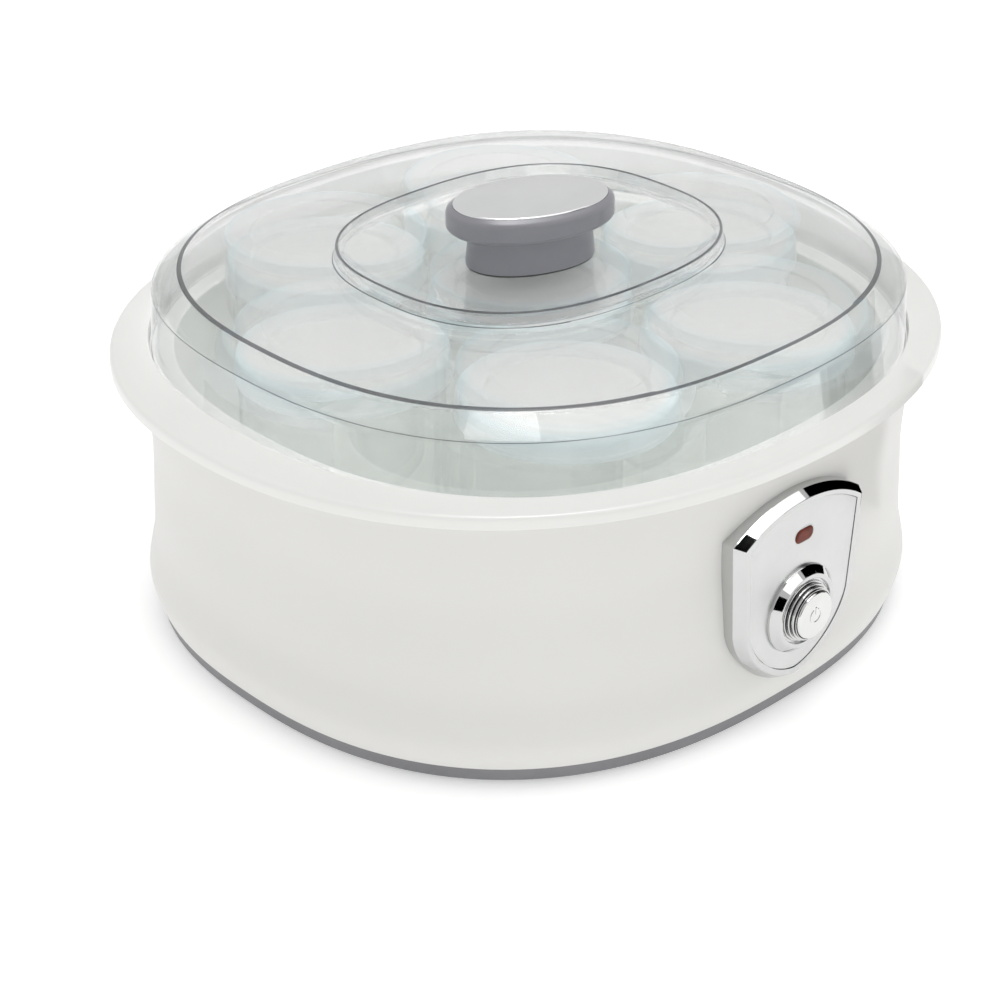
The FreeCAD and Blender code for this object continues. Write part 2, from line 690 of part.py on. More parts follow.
def lid_cover():
    """Clear lid: skirt, shoulder, gently domed top and an oval well with a raised edge."""
    skirt_low = LEDGE_Z + LID_GAP
    t = LID_WALL
    outside = lid_section(0.0, 0.0)
    well = [
        (CREST_A - 8.0, CREST_B - 8.0, CREST_N, WELL_Z + 2.6, 7.0),
        (KNOB_A + 8.0, KNOB_B + 10.0, 2.3, WELL_Z, 9.0),
        (KNOB_A - 2.0, KNOB_B - 2.0, 2.2, WELL_Z, 0.0),
    ]
    under_well = [
        (KNOB_A - 2.0, KNOB_B - 2.0, 2.2, WELL_Z - t, 0.0),
        (KNOB_A + 8.3, KNOB_B + 10.3, 2.3, WELL_Z - t, 9.0),
        (CREST_A - 6.6, CREST_B - 6.6, CREST_N, WELL_Z + 2.6 - t, 7.0),
        (CREST_A - 1.2, CREST_B - 1.2, CREST_N, CREST_Z - t - 2.4, 0.6),
        (CREST_A + 0.2, CREST_B + 0.2, CREST_N, CREST_FOOT_Z - t, 0.6),
        (109.8, 103.9, 2.42, TOP_EDGE_Z - t, 1.2),
        (117.4, 111.2, 2.43, SHOULDER_Z - 1.3, 2.0),
    ]
    edge = [
        (SKIRT_A - t, SKIRT_B - t, SKIRT_N, skirt_low, 0.3),
        (SKIRT_A, SKIRT_B, SKIRT_N, skirt_low, 0.3),
    ]
    cover = skin(under_well + edge + outside + well)
    return cover.cut(tube(1.6, 0, WELL_Z - 5.0, WELL_Z + 1.0))


def lid_handle():
    """Grey knob: waisted stem under an overhanging oval grip."""
    step = WELL_Z + 0.05
    corners = [
        (22.0, 14.4, KNOB_N, step, 0.0),
        (22.4, 14.8, KNOB_N, step + 0.9, 0.2),
        (21.6, 14.0, KNOB_N, step + 9.0, 2.0),
        (22.6, 15.0, KNOB_N, GRIP_LOW, 0.6),
        (KNOB_A - 1.5, KNOB_B - 1.5, KNOB_N, GRIP_LOW, 0.5),
        (KNOB_A, KNOB_B, KNOB_N, GRIP_LOW + 1.2, 0.8),
        (KNOB_A, KNOB_B, KNOB_N, GRIP_TOP - 2.0, 1.2),
        (CAP_A + 0.1, CAP_B + 0.1, KNOB_N, GRIP_TOP - 0.4, 0.0),
        (CAP_A + 0.1, CAP_B + 0.1, KNOB_N, GRIP_TOP - 2.2, 0.0),
    ]
    knob = skin(corners)
    knob.rotate(Vec(0, 0, 0), UP, KNOB_TURN)
    return knob.cut(tube(1.6, 0, step - 1.0, step + 12.0))


def handle_cap():
    corners = [
        (CAP_A, CAP_B, KNOB_N, GRIP_TOP - 2.2, 0.0),
        (CAP_A, CAP_B, KNOB_N, GRIP_TOP, 0.5),
        (CAP_A - 8.0, CAP_B - 8.0, KNOB_N, GRIP_TOP + 0.35, 0.0),
    ]
    cap = skin(corners)
    cap.rotate(Vec(0, 0, 0), UP, KNOB_TURN)
    return cap


def handle_screw():
    low = WELL_Z - LID_WALL
    return turned([(0, low - 2.2, 0), (3.2, low - 2.2, 0.9), (3.2, low, 0), (1.5, low, 0),
                   (1.5, low + 11.0, 0.4), (0, low + 11.0, 0)])


# ---------------------------------------------------------------- jars
def jar_spots():
    spots = [(0.0, 0.0)]
    for i in range(6):
        spots.append(on_circle(JAR_PITCH, JAR_TURN + 60.0 * i))
    return spots


def jar(x, y):
    """Glass jar: heavy base, straight side, bead and a plain neck."""
    r = JAR_RADIUS
    t = JAR_WALL
    low = TUB_FLOOR + JAR_LIFT
    top = low + JAR_HEIGHT
    section = [
        (0, low + 1.2, 0), (r - 9.0, low + 1.2, 1.5), (r - 7.0, low, 0.8), (r - 4.0, low, 0.0),
        (r, low + 4.5, 3.5), (r, top - 16.0, 3.0), (r - 1.8, top - 12.6, 1.2),
        (r + 0.2, top - 10.6, 0.9), (r - 1.4, top - 8.6, 0.8), (r - 1.4, top, 1.0),
        (r - 1.4 - t, top, 1.0), (r - 1.4 - t, top - 12.0, 3.0), (r - t, top - 18.0, 3.0),
        (r - t, low + 5.5, 4.5), (0, low + 5.0, 0),
    ]
    shape = turned(section)
    shape.translate(Vec(x, y, 0))
    return shape


def jar_lid(x, y):
    """Press-on lid: rounded rim ring, recessed middle and a short skirt."""
    r = JAR_LID_RADIUS
    t = JAR_LID_WALL
    top = JAR_LID_TOP
    low = top - JAR_LID_SKIRT
    mouth = TUB_FLOOR + JAR_LIFT + JAR_HEIGHT + 0.3
    section = [
        (0, top - 1.6, 0), (24.6, top - 1.6, 0.4), (25.4, top, 0.6), (r - 0.9, top, 1.2),
        (r - 0.2, low + 2.0, 0.0), (r, low + 1.6, 0), (r, low, 0.3), (r - t, low, 0.3),
        (r - 0.9 - t, mouth, 0.4), (25.9, mouth, 0.2), (25.9, mouth - 2.4, 0.3),
        (24.7, mouth - 2.4, 0.3), (24.3, mouth, 0.4), (0, mouth, 0),
    ]
    shape = turned(section)
    shape.translate(Vec(x, y, 0))
    return shape


# ---------------------------------------------------------------- output
def main():
    pieces = [outer_body, inner_tub, base_plate, rubber_feet, base_screws, heater_plate,
              heater_screws, heating_element, element_clips, heat_shield, thermostat,
              thermal_fuse, terminal_block, terminal_screws, cord_gland, live_wire, lamp_wire,
              power_switch, panel_bezel, panel_face, indicator_lens, indicator_lamp, dial_ring,
              power_button, button_spring, panel_screws, lid_cover, lid_handle, handle_cap,
              handle_screw]
    for piece in pieces:
        save(piece.__name__, piece())
    for i, (x, y) in enumerate(jar_spots()):
        save(f"jar_{i + 1}", jar(x, y))
        save(f"jar_lid_{i + 1}", jar_lid(x, y))


main()
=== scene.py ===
"""Looks of the yogurt maker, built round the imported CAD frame. Section sizes are in millimetres."""
import bmesh
import bpy
import math
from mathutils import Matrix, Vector


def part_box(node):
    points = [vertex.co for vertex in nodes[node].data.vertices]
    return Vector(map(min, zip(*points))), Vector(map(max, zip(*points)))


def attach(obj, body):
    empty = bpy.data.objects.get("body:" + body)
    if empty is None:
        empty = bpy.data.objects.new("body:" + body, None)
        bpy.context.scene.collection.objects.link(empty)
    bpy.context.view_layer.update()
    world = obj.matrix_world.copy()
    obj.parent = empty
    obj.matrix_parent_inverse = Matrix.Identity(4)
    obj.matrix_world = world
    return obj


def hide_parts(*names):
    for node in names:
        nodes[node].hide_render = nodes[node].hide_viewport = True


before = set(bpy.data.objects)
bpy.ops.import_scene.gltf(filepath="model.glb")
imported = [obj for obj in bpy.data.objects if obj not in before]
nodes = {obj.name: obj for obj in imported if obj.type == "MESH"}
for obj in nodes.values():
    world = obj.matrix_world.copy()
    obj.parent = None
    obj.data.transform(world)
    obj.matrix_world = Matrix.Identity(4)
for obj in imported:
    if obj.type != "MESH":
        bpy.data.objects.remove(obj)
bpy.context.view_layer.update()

MM = 0.001
RING = 192

# Housing sizes, as in the CAD
RIM_TOP = 100.0
SEAM_Z = 92.6
LEDGE_Z = 95.8
BODY_A = 123.8
BODY_B = 115.6
BODY_N = 2.4
WALL = 2.4
FOOT = 1.5
BAND_TOP = 6.7
BULGE = ((6.7, 1.6), (11.0, 3.2), (16.0, 3.9), (22.0, 2.9), (30.0, 1.4), (44.0, 0.6),
         (62.0, -0.2), (78.0, 0.3), (92.6, 0.3))
TUB_FLOOR = 27.5
WELL_MOUTH = (114.4, 108.8, 2.4)
INLET_R = 5.0
INLET_Z = 18.0

# Lid and knob
SKIRT = (122.2, 116.2, 2.31)
SHOULDER = (119.4, 113.2, 2.43)
SHOULDER_Z = 116.6
TOP_EDGE = (110.6, 104.7, 2.42)
TOP_EDGE_Z = 122.7
CREST = (63.2, 53.6, 2.54)
CREST_Z = 129.7
CREST_FOOT = (CREST[0] + 0.9, CREST[1] + 0.9, CREST[2])
CREST_FOOT_Z = 124.3
WELL_Z = 120.2
LID_WALL = 2.0
KNOB_A = 28.9
KNOB_B = 19.2
KNOB_N = 2.1
KNOB_TURN = math.radians(-18.0)
GRIP_LOW = 133.0
GRIP_TOP = 142.0
CAP_A = 26.6
CAP_B = 17.2

# Panel
PANEL_Y = -122.2
PANEL_HALF = 25.0
PANEL_TAPER = 2.0
PANEL_CORNER = 70.3
PANEL_APEX = 77.9
PANEL_TURN = 40.0
PANEL_BOTTOM = 18.5
PANEL_N = 1.64
LIP = 2.0
BEVEL = 2.3
BEVEL_DEEP = 3.5
LEDGE_WIDE = 5.4
LEDGE_Y = PANEL_Y + 1.75
FACE_Y = PANEL_Y + 0.3
BUTTON_Z = 40.5
BUTTON_R = 8.0
BUTTON_END = -128.8
STEM_END = -115.0
DIAL_R = 15.0
RIB_R = 10.3
RIB_STEP = 0.6
RIB_LOW = 2.2
RIB_PITCH = 1.25
RIB_DEEP = 0.7
RIB_END = 8.5
RIBS = 3
PILL_Z = 66.7
PILL_LONG = 8.4
PILL_HIGH = 4.8


# ---------------------------------------------------------------- mesh tools
def oval(a, b, n, z, count=RING):
    """Points of the superellipse |x/a|^n + |y/b|^n = 1 at height z."""
    points = []
    for i in range(count):
        angle = 2 * math.pi * i / count
        c = math.cos(angle)
        s = math.sin(angle)
        r = (abs(c / a) ** n + abs(s / b) ** n) ** (-1.0 / n)
        points.append((r * c, r * s, z))
    return points


def circle(r, z, count=96):
    if r <= 0:
        return [(0.0, 0.0, z)]
    return oval(r, r, 2.0, z, count)


def dial(r, out):
    """Circle round the button's axis, out mm in front of the panel plate."""
    return [(x, FACE_Y - out, BUTTON_Z + z) for x, z, _ in circle(r, 0.0, 160)]


def mix(p, q, t):
    return tuple(u + (v - u) * t for u, v in zip(p, q))


def towards(p, q, reach, most=0.49):
    """The section point that lies reach mm from p on the way to q."""
    length = math.hypot(q[0] - p[0], q[-1] - p[-1])
    return mix(p, q, min(reach / length, most))


def rounded(corners, closed, steps):
    """Section points of a run of corners (..., rounding), with rounded edges.

    A point just outside each rounded edge keeps the flat beside it flat in shading.
    """
    count = len(corners)
    run = []
    for i, item in enumerate(corners):
        corner = item[:-1]
        size = item[-1]
        if not size or not (closed or 0 < i < count - 1):
            run.append(corner)
            continue
        last = corners[i - 1][:-1]
        following = corners[(i + 1) % count][:-1]
        start = towards(corner, last, size)
        end = towards(corner, following, size)
        run.append(towards(corner, last, size * 1.12, 0.498))
        for k in range(steps + 1):
            t = k / steps
            run.append(mix(mix(start, corner, t), mix(corner, end, t), t))
        run.append(towards(corner, following, size * 1.12, 0.498))
    return run


def mesh_object(name, verts, faces, sharp=40.0):
    mesh = bpy.data.meshes.new(name)
    mesh.from_pydata([[c * MM for c in v] for v in verts], [], faces)
    work = bmesh.new()
    work.from_mesh(mesh)
    bmesh.ops.remove_doubles(work, verts=work.verts, dist=1e-7)
    bmesh.ops.recalc_face_normals(work, faces=work.faces)
    work.to_mesh(mesh)
    work.free()
    mesh.polygons.foreach_set("use_smooth", [True] * len(mesh.polygons))
    mesh.set_sharp_from_angle(angle=math.radians(sharp))
    obj = bpy.data.objects.new(name, mesh)
    bpy.context.scene.collection.objects.link(obj)
    return obj


def skin(name, corners, outline, closed=False, steps=6, sharp=40.0):
    """Surface through the outlines of a section; open runs get flat end caps."""
    rings = [outline(*p) for p in rounded(corners, closed, steps)]
    verts = []
    starts = []
    faces = []
    for points in rings:
        starts.append((len(verts), len(points)))
        verts += points
    links = list(zip(starts, starts[1:]))
    if closed:
        links.append((starts[-1], starts[0]))
    for (low, low_count), (high, high_count) in links:
        count = max(low_count, high_count)
        for i in range(count):
            j = (i + 1) % count
            face = [low + i % low_count, low + j % low_count,
                    high + j % high_count, high + i % high_count]
            faces.append(list(dict.fromkeys(face)))
    if not closed:
        for start, count in (starts[0], starts[-1]):
            if count > 1:
                faces.append([start + i for i in range(count)])
    return mesh_object(name, verts, faces, sharp)


def place(obj, body, slot, material, *replaced):
    obj.data.materials.clear()
    obj.data.materials.append(material)
    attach(obj, body)
    if replaced:
        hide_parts(*replaced)
    return obj


def off_outline(outline, x, y):
    """How far outside a superellipse outline (a, b, n) the point lies, as a share of its size."""
    a, b, n = outline
    return (abs(x / a) ** n + abs(y / b) ** n) ** (1.0 / n) - 1.0


def recolour(obj, material, chosen):
    """Give one more material to the faces whose centre (in mm) and normal are chosen."""
    obj.data.materials.append(material)
    index = len(obj.data.materials) - 1
    for face in obj.data.polygons:
        x, y, z = (c / MM for c in face.center)
        if chosen(x, y, z, face.normal):
            face.material_index = index


def cut(obj, cutters):
    """Take the cutters' volume out of obj, for good."""
    for cutter in cutters:
        modifier = obj.modifiers.new("cut", "BOOLEAN")
        modifier.operation = "DIFFERENCE"
        modifier.solver = "EXACT"
        modifier.object = cutter
    graph = bpy.context.evaluated_depsgraph_get()
    graph.update()
    mesh = bpy.data.meshes.new_from_object(obj.evaluated_get(graph))
    obj.modifiers.clear()
    obj.data = mesh
    for cutter in cutters:
        bpy.data.objects.remove(cutter)
    return obj


# ---------------------------------------------------------------- material tools
class Look:
    """A procedural material: one Principled shader with noise-driven detail."""

    def __init__(self, name, **values):
        self.material = bpy.data.materials.new(name)
        self.material.use_nodes = True
        self.tree = self.material.node_tree
        self.shader = self.tree.nodes["Principled BSDF"]
        self.coords = self.add("ShaderNodeTexCoord").outputs["Object"]
        for key, value in values.items():
            self.set(key, value)

    def set(self, key, value):
        socket = self.shader.inputs[key]
        socket.default_value = (*value, 1.0) if isinstance(value, tuple) else value

    def add(self, kind, **settings):
        node = self.tree.nodes.new(kind)
        for key, value in settings.items():
            setattr(node, key, value)
        return node

    def link(self, source, target):
        self.tree.links.new(source, target)

    def noise(self, scale, detail=3.0, roughness=0.5, stretch=None):
        node = self.add("ShaderNodeTexNoise")
        node.inputs["Scale"].default_value = scale
        node.inputs["Detail"].default_value = detail
        node.inputs["Roughness"].default_value = roughness
        source = self.coords
        if stretch:
            mapping = self.add("ShaderNodeMapping")
            mapping.inputs["Scale"].default_value = stretch
            self.link(source, mapping.inputs["Vector"])
            source = mapping.outputs["Vector"]
        self.link(source, node.inputs["Vector"])
        return node.outputs["Fac"]

    def ramp(self, source, low, high, start=0.35, end=0.65):
        node = self.add("ShaderNodeValToRGB")
        node.color_ramp.elements[0].position = start
        node.color_ramp.elements[1].position = end
        node.color_ramp.elements[0].color = (*low, 1.0)
        node.color_ramp.elements[1].color = (*high, 1.0)
        self.link(source, node.inputs["Fac"])
        return node.outputs["Color"]

    def span(self, source, low, high):
        node = self.add("ShaderNodeMapRange")
        node.inputs["From Min"].default_value = 0.3
        node.inputs["From Max"].default_value = 0.7
        node.inputs["To Min"].default_value = low
        node.inputs["To Max"].default_value = high
        self.link(source, node.inputs["Value"])
        return node.outputs["Result"]

    def tint(self, low, high, scale, stretch=None):
        """Base colour wanders between two close shades."""
        shade = self.ramp(self.noise(scale, 4.0, 0.55, stretch), low, high)
        self.link(shade, self.shader.inputs["Base Color"])
        return self

    def sheen_spread(self, low, high, scale, stretch=None):
        """Roughness wanders between two values."""
        spread = self.span(self.noise(scale, 4.0, 0.6, stretch), low, high)
        self.link(spread, self.shader.inputs["Roughness"])
        return self

    def see_through(self, facing, edge):
        """Opacity from the facing value up to the edge value, where the surface turns away."""
        weight = self.add("ShaderNodeLayerWeight")
        weight.inputs["Blend"].default_value = 0.4
        opacity = self.add("ShaderNodeMapRange")
        opacity.inputs["To Min"].default_value = facing
        opacity.inputs["To Max"].default_value = edge
        self.link(weight.outputs["Facing"], opacity.inputs["Value"])
        self.link(opacity.outputs["Result"], self.shader.inputs["Alpha"])
        return self

    def grain(self, scale, height, detail=3.0, stretch=None):
        """Fine surface relief, height in mm. Calls add up."""
        bump = self.add("ShaderNodeBump")
        bump.inputs["Strength"].default_value = 1.0
        bump.inputs["Distance"].default_value = height * MM
        self.link(self.noise(scale, detail, 0.55, stretch), bump.inputs["Height"])
        normal = self.shader.inputs["Normal"]
        if normal.is_linked:
            self.link(normal.links[0].from_socket, bump.inputs["Normal"])
        self.link(bump.outputs["Normal"], normal)
        return self


def shell_look():
    look = Look("white_shell", **{"Roughness": 0.42, "IOR": 1.5, "Specular IOR Level": 0.45})
    look.tint((0.77, 0.765, 0.742), (0.785, 0.78, 0.757), 9.0)
    look.sheen_spread(0.41, 0.44, 60.0)
    look.grain(1400.0, 0.012)
    return look.material


def rim_look():
    look = Look("white_rim", **{"Roughness": 0.3, "IOR": 1.5})
    look.tint((0.86, 0.86, 0.835), (0.872, 0.872, 0.847), 9.0)
    look.sheen_spread(0.29, 0.31, 60.0)
    look.grain(900.0, 0.008)
    return look.material


def well_look():
    # The tub's well is the rim's white plastic painted brighter: painted light for the light that
    # reaches the tub under the lid.
    look = Look("white_well", **{"Roughness": 0.45, "IOR": 1.5, "Specular IOR Level": 0.3})
    look.tint((0.965, 0.97, 0.95), (0.975, 0.98, 0.96), 9.0)
    look.grain(900.0, 0.008)
    return look.material


def base_look():
    look = Look("grey_base", **{"Roughness": 0.45, "IOR": 1.5})
    look.tint((0.19, 0.19, 0.20), (0.22, 0.22, 0.23), 30.0)
    look.sheen_spread(0.4, 0.52, 80.0)
    look.grain(1600.0, 0.02)
    return look.material


def lid_look(name, facing, edge, glancing_shade):
    """Clear plastic with painted shade: its colour turns grey at glancing angles, for the dark rims
    the clear lid shows there.
    """
    look = Look(name, **{"Roughness": 0.0, "IOR": 1.5, "Transmission Weight": 0.9})
    weight = look.add("ShaderNodeLayerWeight")
    weight.inputs["Blend"].default_value = 0.5
    shade = look.ramp(weight.outputs["Facing"], (0.985, 0.99, 0.985), glancing_shade, 0.45, 0.9)
    look.link(shade, look.shader.inputs["Base Color"])
    look.see_through(facing, edge)
    look.grain(14.0, 0.02, 1.0)
    return look.material


def crease_shade_look():
    """The lid's creases painted near black: a painted shade for the dark lines the clear plastic
    shows where it is seen edge on.
    """
    return Look("clear_lid_painted_crease_shade", **{"Base Color": (0.09, 0.09, 0.1), "Roughness": 0.08,
                                     "IOR": 1.5, "Transmission Weight": 0.7}).material


def glass_look():
    """Thin glass: nearly clear face on, denser and greener towards the edges."""
    look = Look("jar_glass", **{"Base Color": (0.97, 1.0, 0.985), "Roughness": 0.04, "IOR": 1.5})
    look.see_through(0.05, 0.4)
    look.grain(30.0, 0.05, 1.0)
    return look.material


def jar_lid_look():
    """Milky lid with a pale blue rim."""
    look = Look("jar_lid_plastic", **{"Roughness": 0.3, "IOR": 1.45})
    split = look.add("ShaderNodeSeparateXYZ")
    look.link(look.coords, split.inputs["Vector"])
    length = look.add("ShaderNodeVectorMath", operation="LENGTH")
    flat = look.add("ShaderNodeCombineXYZ")
    look.link(split.outputs["X"], flat.inputs["X"])
    look.link(split.outputs["Y"], flat.inputs["Y"])
    look.link(flat.outputs["Vector"], length.inputs[0])
    reach = look.add("ShaderNodeMapRange")
    reach.inputs["From Min"].default_value = 0.023
    reach.inputs["From Max"].default_value = 0.035
    look.link(length.outputs["Value"], reach.inputs["Value"])
    shade = look.ramp(reach.outputs["Result"], (0.82, 0.825, 0.81), (0.97, 0.985, 0.98), 0.0, 1.0)
    stops = shade.node.color_ramp.elements
    rim_tints = ((0.62, (0.83, 0.84, 0.83)), (0.78, (0.68, 0.81, 0.84)),
                 (0.9, (0.76, 0.87, 0.9)))
    for spot, colour in rim_tints:
        stops.new(spot).color = (*colour, 1.0)
    look.link(shade, look.shader.inputs["Base Color"])
    look.see_through(0.5, 0.8)
    return look.material


def knob_look():
    look = Look("knob_grey", **{"Roughness": 0.28, "IOR": 1.5})
    look.tint((0.25, 0.25, 0.275), (0.26, 0.26, 0.285), 60.0)
    look.sheen_spread(0.28, 0.31, 160.0)
    look.grain(1200.0, 0.008)
    return look.material


def silver_look():
    look = Look("silver_insert", **{"Metallic": 1.0, "Roughness": 0.16})
    look.tint((0.84, 0.845, 0.85), (0.87, 0.875, 0.88), 60.0)
    look.sheen_spread(0.14, 0.18, 200.0)
    return look.material


def chrome_look(name, low, high):
    look = Look(name, **{"Metallic": 1.0, "Roughness": 0.05})
    look.tint(low, high, 80.0)
    look.sheen_spread(0.03, 0.07, 150.0)
    return look.material


def satin_look():
    look = Look("satin_plate", **{"Metallic": 1.0, "Roughness": 0.32})
    look.tint((0.62, 0.625, 0.62), (0.65, 0.655, 0.65), 60.0)
    look.sheen_spread(0.28, 0.36, 400.0)
    look.grain(2500.0, 0.006)
    return look.material


def lens_look():
    look = Look("red_lens", **{"Roughness": 0.3, "IOR": 1.45, "Specular IOR Level": 0.3})
    look.tint((0.10, 0.014, 0.006), (0.18, 0.03, 0.014), 320.0)
    return look.material


def neck_shade_look():
    """Chrome painted near black as painted shade in the necks between the collar's ribs."""
    look = Look("painted_neck_shade", **{"Metallic": 1.0, "Roughness": 0.2})
    look.tint((0.02, 0.02, 0.02), (0.05, 0.05, 0.05), 120.0)
    return look.material


def rubber_look():
    look = Look("black_rubber", **{"Roughness": 0.7, "IOR": 1.5})
    look.tint((0.02, 0.02, 0.02), (0.035, 0.035, 0.035), 120.0)
    look.grain(1500.0, 0.03)
    return look.material


def steel_look():
    look = Look("plain_steel", **{"Metallic": 1.0, "Roughness": 0.35})
    look.tint((0.5, 0.5, 0.51), (0.6, 0.6, 0.61), 300.0)
    look.sheen_spread(0.28, 0.42, 500.0)
    return look.material


def aluminium_look():
    look = Look("rolled_aluminium", **{"Metallic": 1.0, "Roughness": 0.35})
    look.tint((0.68, 0.68, 0.69), (0.76, 0.76, 0.77), 120.0, (1.0, 12.0, 1.0))
    look.sheen_spread(0.3, 0.42, 300.0, (1.0, 12.0, 1.0))
    return look.material


def brass_look():
    look = Look("brass", **{"Metallic": 1.0, "Roughness": 0.3})
    look.tint((0.7, 0.5, 0.22), (0.78, 0.58, 0.28), 200.0)
    return look.material


def dark_plastic_look():
    look = Look("dark_plastic", **{"Roughness": 0.5, "IOR": 1.5})
    look.tint((0.03, 0.03, 0.03), (0.05, 0.05, 0.05), 100.0)
    look.grain(1500.0, 0.02)
    return look.material


def sleeve_look():
    look = Look("wire_sleeve", **{"Roughness": 0.45, "IOR": 1.5})
    look.tint((0.22, 0.05, 0.02), (0.3, 0.08, 0.03), 100.0)
    return look.material


def neon_look():
    look = Look("neon_glass", **{"Roughness": 0.1, "IOR": 1.45, "Transmission Weight": 0.6})
    look.tint((0.8, 0.35, 0.2), (0.9, 0.45, 0.28), 200.0)
    return look.material


looks = {
    "white_shell": shell_look(), "white_rim": rim_look(), "grey_base": base_look(),
    # the clear lid's grey at glancing angles is painted shade
    "lid": lid_look("clear_lid", 0.12, 0.8, (0.56, 0.57, 0.59)),
    # denser, lit copy of the lid plastic for the shoulder band: painted highlight
    "lid_highlight_band": lid_look("clear_lid_highlight_band", 0.45, 0.7, (0.9, 0.91, 0.91)),
    "lid_crease_shade": crease_shade_look(), "glass": glass_look(),
    "jar_lid": jar_lid_look(), "knob": knob_look(),
    "silver": silver_look(), "satin": satin_look(),
    "chrome": chrome_look("chrome", (0.59, 0.595, 0.59), (0.62, 0.625, 0.62)),
    "button": chrome_look("button_chrome", (0.70, 0.705, 0.69), (0.73, 0.735, 0.72)),
    "lens": lens_look(), "rubber": rubber_look(), "steel": steel_look(),
    "aluminium": aluminium_look(), "brass": brass_look(), "dark": dark_plastic_look(),
    "sleeve": sleeve_look(), "neon": neon_look(), "neck_shade": neck_shade_look(),
    "well": well_look(),
}


# ---------------------------------------------------------------- housing
def bulge(z):
    """Offset of the wall's outline at height z: a smooth curve through the bulge points."""
    spots = BULGE
    k = 0
    while k < len(spots) - 2 and z > spots[k + 1][0]:
        k += 1

    def slope(i):
        if i == 0:
            return (spots[1][1] - spots[0][1]) / (spots[1][0] - spots[0][0])
        if i == len(spots) - 1:
            return 0.0
        return (spots[i + 1][1] - spots[i - 1][1]) / (spots[i + 1][0] - spots[i - 1][0])

    z0, f0 = spots[k]
    z1, f1 = spots[k + 1]
    h = z1 - z0
    t = (z - z0) / h
    return ((2 * t ** 3 - 3 * t ** 2 + 1) * f0 + (t ** 3 - 2 * t ** 2 + t) * h * slope(k)
            + (3 * t ** 2 - 2 * t ** 3) * f1 + (t ** 3 - t ** 2) * h * slope(k + 1))


def outer_body():
    """White wall with a hollow back, open behind the panel and at the cord inlet."""
    heights = [BAND_TOP + (SEAM_Z - BAND_TOP) * i / 44 for i in range(45)]
    outside = [(BODY_A + bulge(z), BODY_B + bulge(z), BODY_N, z, 0.0) for z in heights]
    inside = [(a - WALL, b - WALL, n, z, 0.0) for a, b, n, z, _ in reversed(outside)]
    obj = skin("body_wall", outside + inside, oval, closed=True)
    window = skin("cutter", [(-LEDGE_WIDE, -130.0, 0.0), (-LEDGE_WIDE, -100.0, 0.0)], shield)
    inlet = skin("cutter", [(INLET_R, 100.0, 0.0), (INLET_R, 130.0, 0.0)],
                 lambda r, y: [(x, y, INLET_Z + z) for x, z, _ in circle(r, 0.0, 48)])
    return cut(obj, [window, inlet])


def inner_tub():
    """Jar well, lid ledge and carrying rim."""
    wall_a = BODY_A + BULGE[-1][1]
    wall_b = BODY_B + BULGE[-1][1]
    corners = [
        (0.05, 0.05, 2.0, 24.5, 0.0),
        (112.4, 106.8, 2.4, 24.5, 8.0),
        (116.0, 110.4, 2.4, SEAM_Z, 0.6),
        (wall_a, wall_b, BODY_N, SEAM_Z, 0.15),
        (wall_a, wall_b, BODY_N, 97.0, 1.0),
        (136.8, 124.8, 2.19, 97.0, 0.5),
        (137.1, 125.1, 2.19, 95.6, 0.3),
        (139.0, 127.0, 2.19, 95.6, 0.4),
        (139.0, 127.0, 2.19, 99.8, 1.9),
        (122.9, 116.9, 2.31, 100.2, 0.5),
        (122.9, 116.9, 2.31, LEDGE_Z, 0.3),
        (113.6, 108.0, 2.4, LEDGE_Z, 0.9),
        (110.6, 105.0, 2.4, TUB_FLOOR, 7.0),
        (0.05, 0.05, 2.0, TUB_FLOOR, 0.0),
    ]
    return skin("tub_and_rim", corners, oval)


def base_shell():
    corners = [
        (0.05, 0.05, BODY_N, FOOT, 0.0),
        (124.2, 116.0, BODY_N, FOOT, 1.0),
        (125.4, 117.2, BODY_N, BAND_TOP, 0.2),
        (122.4, 114.2, BODY_N, BAND_TOP, 0.0),
        (122.4, 114.2, BODY_N, 9.7, 0.4),
        (120.4, 112.2, BODY_N, 9.7, 0.4),
        (120.0, 111.8, BODY_N, 4.1, 0.6),
        (0.05, 0.05, BODY_N, 4.1, 0.0),
    ]
    return skin("base_band", corners, oval)


# ---------------------------------------------------------------- panel
def shield(grow, y):
    """Panel outline in the plane y: a bowed top over straight sides and a long bowl."""
    half = PANEL_HALF + grow
    low_half = half - PANEL_TAPER
    corner = PANEL_CORNER + 0.42 * grow
    apex = PANEL_APEX + 0.75 * grow
    deep = PANEL_TURN - PANEL_BOTTOM + 1.1 * grow
    rise = apex - corner
    radius = (half ** 2 + rise ** 2) / (2 * rise)
    sweep = math.asin(half / radius)
    points = []
    for i in range(49):
        angle = -sweep + 2 * sweep * i / 48
        points.append((radius * math.sin(angle), y, apex - radius + radius * math.cos(angle)))
    side = [(half - PANEL_TAPER * i / 12, corner + (PANEL_TURN - corner) * i / 12)
            for i in range(1, 12)]
    points += [(x, y, z) for x, z in side]
    for i in range(97):
        angle = math.pi * i / 96
        across = math.cos(angle)
        x = math.copysign(low_half * abs(across) ** (2.0 / PANEL_N), across)
        points.append((x, y, PANEL_TURN - deep * abs(math.sin(angle)) ** (2.0 / PANEL_N)))
    points += [(-x, y, z) for x, z in reversed(side)]
    return points


def bezel():
    back = PANEL_Y + 8.5
    outer = LIP + BEVEL
    corners = [
        (outer, back, 0.0), (outer, PANEL_Y + BEVEL_DEEP, 0.3), (LIP, PANEL_Y, 0.25),
        (0.0, PANEL_Y, 0.15), (0.0, LEDGE_Y, 0.0), (-LEDGE_WIDE, LEDGE_Y, 0.0),
        (-LEDGE_WIDE, back, 0.0),
    ]
    return skin("panel_frame", corners, shield, closed=True, steps=5, sharp=25.0)


